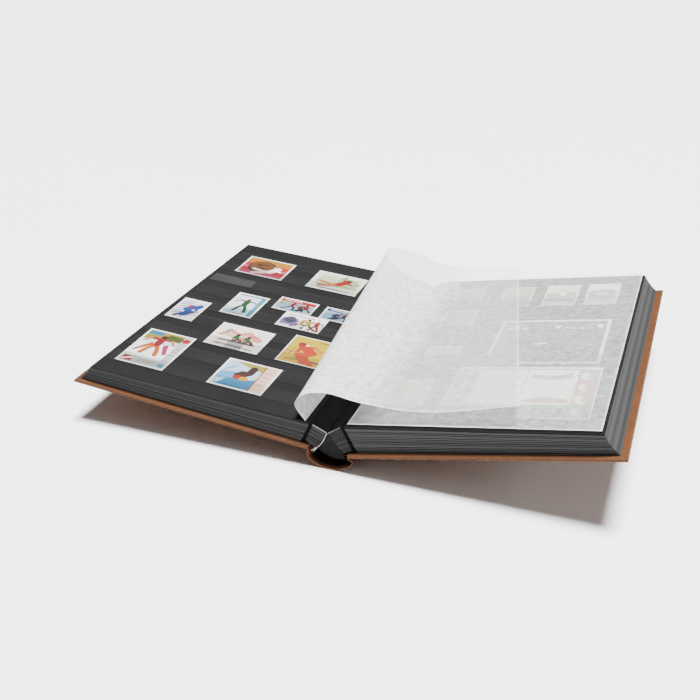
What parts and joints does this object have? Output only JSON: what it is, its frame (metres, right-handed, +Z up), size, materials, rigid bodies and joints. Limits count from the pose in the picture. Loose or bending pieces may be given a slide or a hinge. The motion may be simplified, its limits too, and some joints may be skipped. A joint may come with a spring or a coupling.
{
  "type": "stamp album",
  "caption": "Open stock book for stamps: cognac hard covers on a rounded hollow spine, black pocket leaves on linen hinges, loose stamps and glassine interleaves.",
  "frame": {"origin": "on the flat underside of the spine, under the gutter, halfway up the book", "axes": "+X across the open spread to the right page, +Y to the head of the book, +Z up"},
  "size_m": [0.4415, 0.305, 0.0751],
  "materials": {
    "leatherette": "fine grained satin, cognac",
    "grey_board": "matt",
    "black_card": "matt",
    "black_linen": "matt weave",
    "white_thread": "matt",
    "glassine": "translucent, faintly mottled",
    "pocket_film": "clear film over black",
    "stamp_paper": "printed, perforated edges"
  },
  "bodies": {
    "spine": {"spine_leatherette": "leatherette", "spine_card": "grey_board", "back_lining": "black_linen"},
    "gutter": {"binding_thread": "white_thread", "interleaf_turned": "glassine"},
    "right_guard_block": {"right_guards": "black_card", "right_linen_hinge": "black_linen"},
    "back_half": {"back_leatherette": "leatherette", "back_board": "grey_board", "back_endpaper": "black_card", "right_leaf_stack": "black_card", "right_top_leaf": "black_card", "right_strip_1": "pocket_film", "right_strip_2": "pocket_film", "right_strip_3": "pocket_film", "right_strip_4": "pocket_film", "right_strip_5": "pocket_film", "right_strip_6": "pocket_film", "right_strip_7": "pocket_film", "right_strip_8": "pocket_film", "right_strip_9": "pocket_film", "interleaf_flat": "glassine"},
    "left_guard_block": {"left_guards": "black_card", "left_linen_hinge": "black_linen", "thread_tail": "white_thread"},
    "front_half": {"front_leatherette": "leatherette", "front_board": "grey_board", "front_endpaper": "black_card", "left_leaf_stack": "black_card"},
    "left_page": {"left_top_leaf": "black_card", "left_strip_1": "pocket_film", "left_strip_2": "pocket_film", "left_strip_3": "pocket_film", "left_strip_4": "pocket_film", "left_strip_5": "pocket_film", "left_strip_6": "pocket_film", "left_strip_7": "pocket_film", "left_strip_8": "pocket_film", "left_strip_9": "pocket_film"},
    "stamp_globe": {"left_stamp_globe": "stamp_paper"},
    "stamp_gymnast": {"left_stamp_gymnast": "stamp_paper"},
    "stamp_skater": {"left_stamp_skater": "stamp_paper"},
    "stamp_ice_red": {"left_stamp_ice_red": "stamp_paper"},
    "stamp_ice_blue": {"left_stamp_ice_blue": "stamp_paper"},
    "stamp_ball": {"left_stamp_ball": "stamp_paper"},
    "stamp_skier": {"left_stamp_skier": "stamp_paper"},
    "stamp_rowing": {"left_stamp_rowing": "stamp_paper"},
    "stamp_slalom": {"left_stamp_slalom": "stamp_paper"},
    "stamp_rider": {"left_stamp_rider": "stamp_paper"},
    "stamp_swimmer": {"left_stamp_swimmer": "stamp_paper"},
    "stamp_leaf": {"right_stamp_leaf": "stamp_paper"},
    "stamp_meadow": {"right_stamp_meadow": "stamp_paper"},
    "stamp_garden": {"right_stamp_garden": "stamp_paper"},
    "stamp_pond": {"right_stamp_pond": "stamp_paper"},
    "stamp_bark": {"right_stamp_bark": "stamp_paper"},
    "stamp_lake": {"right_stamp_lake": "stamp_paper"},
    "stamp_desert": {"right_stamp_desert": "stamp_paper"},
    "stamp_forest_sheet": {"right_stamp_forest_sheet": "stamp_paper"},
    "stamp_sports_block": {"right_stamp_sports_block": "stamp_paper"}
  },
  "joints": [
    {"name": "block_sinks_into_spine", "type": "slide", "parent": "spine", "child": "gutter", "axis": [0, 0, -1], "range_m": [-0.00169, 0.0185], "deforming": ["interleaf_turned", "back_lining"]},
    {"name": "cover_fold", "type": "hinge", "parent": "gutter", "child": "right_guard_block", "pos_m": [0, 0, 0.0305], "axis": [0, -1, 0], "range_deg": [-4.25, 46.2]},
    {"name": "back_half_fold", "type": "hinge", "parent": "right_guard_block", "child": "back_half", "pos_m": [0.01014, 0, 0.03747], "axis": [0, -1, 0], "range_deg": [-3.15, 33.75]},
    {"name": "left_guard_fold", "type": "hinge", "parent": "gutter", "child": "left_guard_block", "pos_m": [0, 0, 0.0305], "axis": [0, 1, 0], "range_deg": [-5.45, 59.3]},
    {"name": "front_half_fold", "type": "hinge", "parent": "left_guard_block", "child": "front_half", "pos_m": [-0.0121, 0, 0.03539], "axis": [0, 1, 0], "range_deg": [-2.5, 26.9]},
    {"name": "left_leaf_turn", "type": "hinge", "parent": "front_half", "child": "left_page", "pos_m": [-0.0121, 0, 0.03539], "axis": [0, -1, 0], "range_deg": [-18, 0]},
    {"name": "slide_globe", "type": "slide", "parent": "left_page", "child": "stamp_globe", "axis": [0.0012, 0.9998, 0.0174], "range_m": [0, 0.018]},
    {"name": "slide_gymnast", "type": "slide", "parent": "left_page", "child": "stamp_gymnast", "axis": [0.0012, 0.9998, 0.0174], "range_m": [0, 0.018]},
    {"name": "slide_skater", "type": "slide", "parent": "left_page", "child": "stamp_skater", "axis": [0.0012, 0.9998, 0.0174], "range_m": [0, 0.018]},
    {"name": "slide_ice_red", "type": "slide", "parent": "left_page", "child": "stamp_ice_red", "axis": [0.0012, 0.9998, 0.0174], "range_m": [0, 0.018]},
    {"name": "slide_ice_blue", "type": "slide", "parent": "left_page", "child": "stamp_ice_blue", "axis": [0.0012, 0.9998, 0.0174], "range_m": [0, 0.018]},
    {"name": "slide_ball", "type": "slide", "parent": "left_page", "child": "stamp_ball", "axis": [0.0012, 0.9998, 0.0174], "range_m": [0, 0.018]},
    {"name": "slide_skier", "type": "slide", "parent": "left_page", "child": "stamp_skier", "axis": [0.0012, 0.9998, 0.0174], "range_m": [0, 0.018]},
    {"name": "slide_rowing", "type": "slide", "parent": "left_page", "child": "stamp_rowing", "axis": [0.0012, 0.9998, 0.0174], "range_m": [0, 0.018]},
    {"name": "slide_slalom", "type": "slide", "parent": "left_page", "child": "stamp_slalom", "axis": [0.0012, 0.9998, 0.0174], "range_m": [0, 0.018]},
    {"name": "slide_rider", "type": "slide", "parent": "left_page", "child": "stamp_rider", "axis": [0.0012, 0.9998, 0.0174], "range_m": [0, 0.018]},
    {"name": "slide_swimmer", "type": "slide", "parent": "left_page", "child": "stamp_swimmer", "axis": [0.0012, 0.9998, 0.0174], "range_m": [0, 0.018]},
    {"name": "slide_leaf", "type": "slide", "parent": "back_half", "child": "stamp_leaf", "axis": [-0.0031, 0.9998, 0.0172], "range_m": [0, 0.018]},
    {"name": "slide_meadow", "type": "slide", "parent": "back_half", "child": "stamp_meadow", "axis": [-0.0031, 0.9998, 0.0172], "range_m": [0, 0.018]},
    {"name": "slide_garden", "type": "slide", "parent": "back_half", "child": "stamp_garden", "axis": [-0.0031, 0.9998, 0.0172], "range_m": [0, 0.018]},
    {"name": "slide_pond", "type": "slide", "parent": "back_half", "child": "stamp_pond", "axis": [-0.0031, 0.9998, 0.0172], "range_m": [0, 0.018]},
    {"name": "slide_bark", "type": "slide", "parent": "back_half", "child": "stamp_bark", "axis": [-0.0031, 0.9998, 0.0172], "range_m": [0, 0.018]},
    {"name": "slide_lake", "type": "slide", "parent": "back_half", "child": "stamp_lake", "axis": [-0.0031, 0.9998, 0.0172], "range_m": [0, 0.018]},
    {"name": "slide_desert", "type": "slide", "parent": "back_half", "child": "stamp_desert", "axis": [-0.0031, 0.9998, 0.0172], "range_m": [0, 0.018]},
    {"name": "slide_forest_sheet", "type": "slide", "parent": "back_half", "child": "stamp_forest_sheet", "axis": [-0.0031, 0.9998, 0.0172], "range_m": [0, 0.011]},
    {"name": "slide_sports_block", "type": "slide", "parent": "back_half", "child": "stamp_sports_block", "axis": [-0.0031, 0.9998, 0.0172], "range_m": [0, 0.014]}
  ],
  "couplings": [
    {"joint": "cover_fold", "follows": "block_sinks_into_spine", "rad_per_m": 43.492},
    {"joint": "back_half_fold", "follows": "block_sinks_into_spine", "rad_per_m": 31.746},
    {"joint": "left_guard_fold", "follows": "block_sinks_into_spine", "rad_per_m": 55.851},
    {"joint": "front_half_fold", "follows": "block_sinks_into_spine", "rad_per_m": 25.284}
  ]
}
